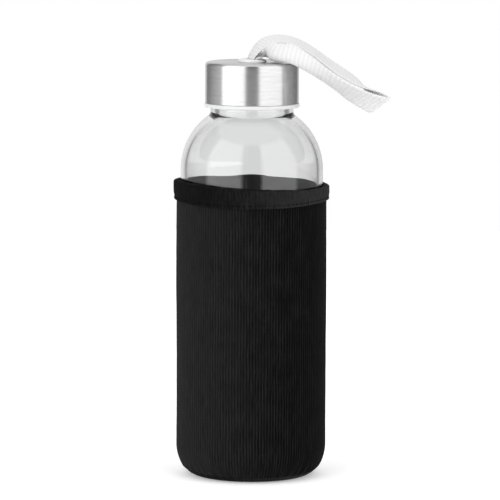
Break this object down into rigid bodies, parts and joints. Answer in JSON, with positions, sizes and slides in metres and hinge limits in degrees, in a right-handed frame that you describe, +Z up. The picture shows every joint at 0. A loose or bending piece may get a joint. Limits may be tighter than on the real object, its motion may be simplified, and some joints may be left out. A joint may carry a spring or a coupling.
{
  "type": "glass water bottle",
  "caption": "Round-shouldered glass water bottle with a steel screw cap, a webbing carry loop on the cap and a ribbed fabric sleeve.",
  "frame": {"origin": "centre of the flat face under the sleeve that the bottle stands on", "axes": "+Z up along the bottle's axis, +X towards the side that the carry loop hangs over, +Y to the sleeve's seam at the back"},
  "size_m": [0.0962, 0.07, 0.1974],
  "materials": {
    "bottle_glass": "clear, polished",
    "seal_silicone": "smooth, translucent white",
    "liner_plastic": "satin translucent white",
    "cap_steel": "brushed round the cap",
    "ferrule_plastic": "semi-gloss white",
    "webbing": "ribbed woven webbing, white",
    "base_fabric": "black foam-backed knit",
    "sleeve_fabric": "black foam-backed knit, fine upright ribs",
    "hem_fabric": "black foam-backed knit, folded",
    "thread": "black polyester thread"
  },
  "bodies": {
    "sleeve": {"sleeve_base": "base_fabric", "sleeve_wall": "sleeve_fabric", "sleeve_hem": "hem_fabric", "sleeve_side_seam": "hem_fabric", "hem_stitching": "thread", "base_stitching": "thread"},
    "bottle": {"glass_bottle": "bottle_glass"},
    "seal": {"cap_seal": "seal_silicone"},
    "cap": {"cap_liner": "liner_plastic", "cap_shell": "cap_steel", "strap_ferrule": "ferrule_plastic", "strap_root": "webbing"},
    "strap": {"strap_loop": "webbing"}
  },
  "joints": [
    {"name": "bottle_slide", "type": "slide", "parent": "sleeve", "child": "bottle", "axis": [0, 0, 1], "range_m": [0, 0.135]},
    {"name": "cap_lift", "type": "slide", "parent": "bottle", "child": "seal", "axis": [0, 0, 1], "range_m": [0, 0.0191]},
    {"name": "cap_turn", "type": "hinge", "parent": "seal", "child": "cap", "pos_m": [0, 0, 0.18], "axis": [0, 0, 1], "range_deg": [0, 1620]},
    {"name": "strap_hinge", "type": "hinge", "parent": "cap", "child": "strap", "pos_m": [0, 0, 0.1872], "axis": [0.1736, -0.9848, 0], "range_deg": [0, 75]}
  ],
  "couplings": [
    {"joint": "cap_lift", "follows": "cap_turn", "m_per_rad": 0.00067322}
  ]
}
